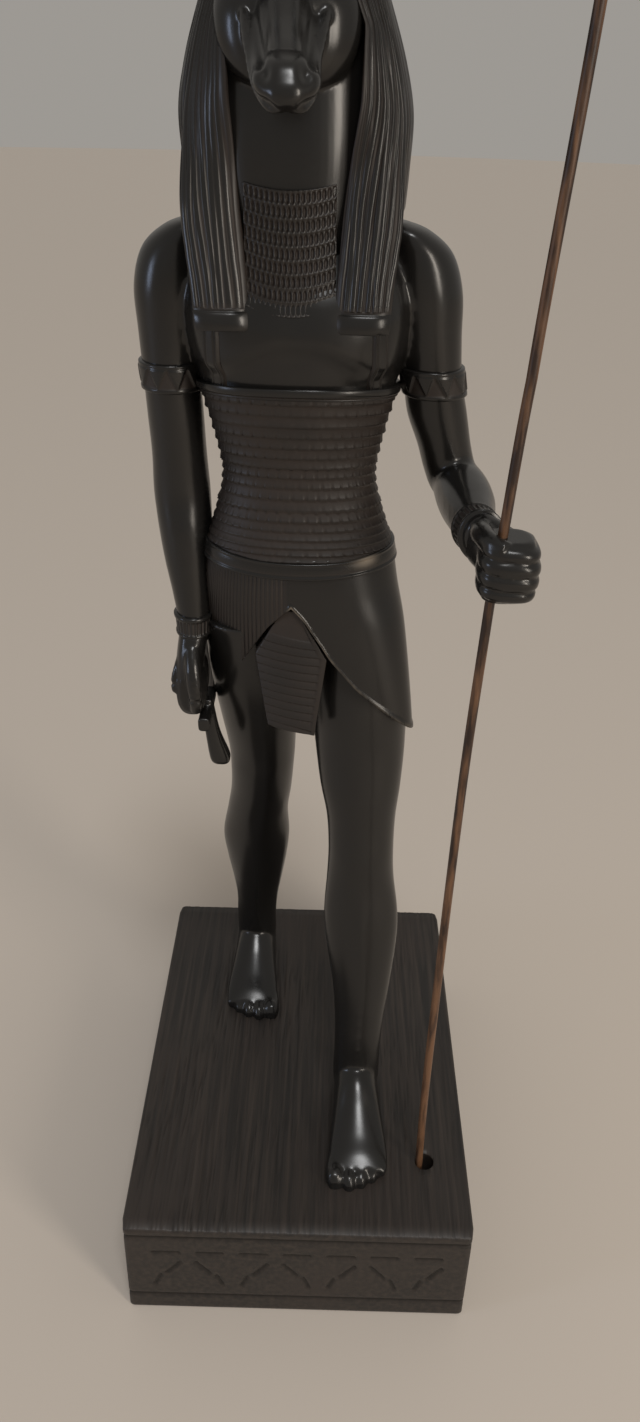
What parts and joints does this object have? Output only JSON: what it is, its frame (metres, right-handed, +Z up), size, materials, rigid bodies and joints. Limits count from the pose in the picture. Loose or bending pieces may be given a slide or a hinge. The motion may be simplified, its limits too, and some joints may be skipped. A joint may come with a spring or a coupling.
{
  "type": "seth statue",
  "caption": "Striding animal-headed god in kilt and scale corset, long wig and tall ears, holding a thin staff and a looped cross, cast for a rectangular wooden plinth.",
  "frame": {"origin": "centre of the plinth's underside", "axes": "+Z up, -Y the way the statue faces, +X towards the statue's left hand and staff"},
  "size_m": [0.1498, 0.2078, 0.578],
  "materials": {
    "cast_resin": "polished near-black stone-filled resin, browner and duller in its recesses",
    "stained_wood": "black-brown stain under satin lacquer, open grain",
    "painted_rod": "dark paint worn through to brown"
  },
  "bodies": {
    "root": {"figure": "cast_resin", "plinth": "stained_wood", "staff": "painted_rod"}
  },
  "joints": []
}
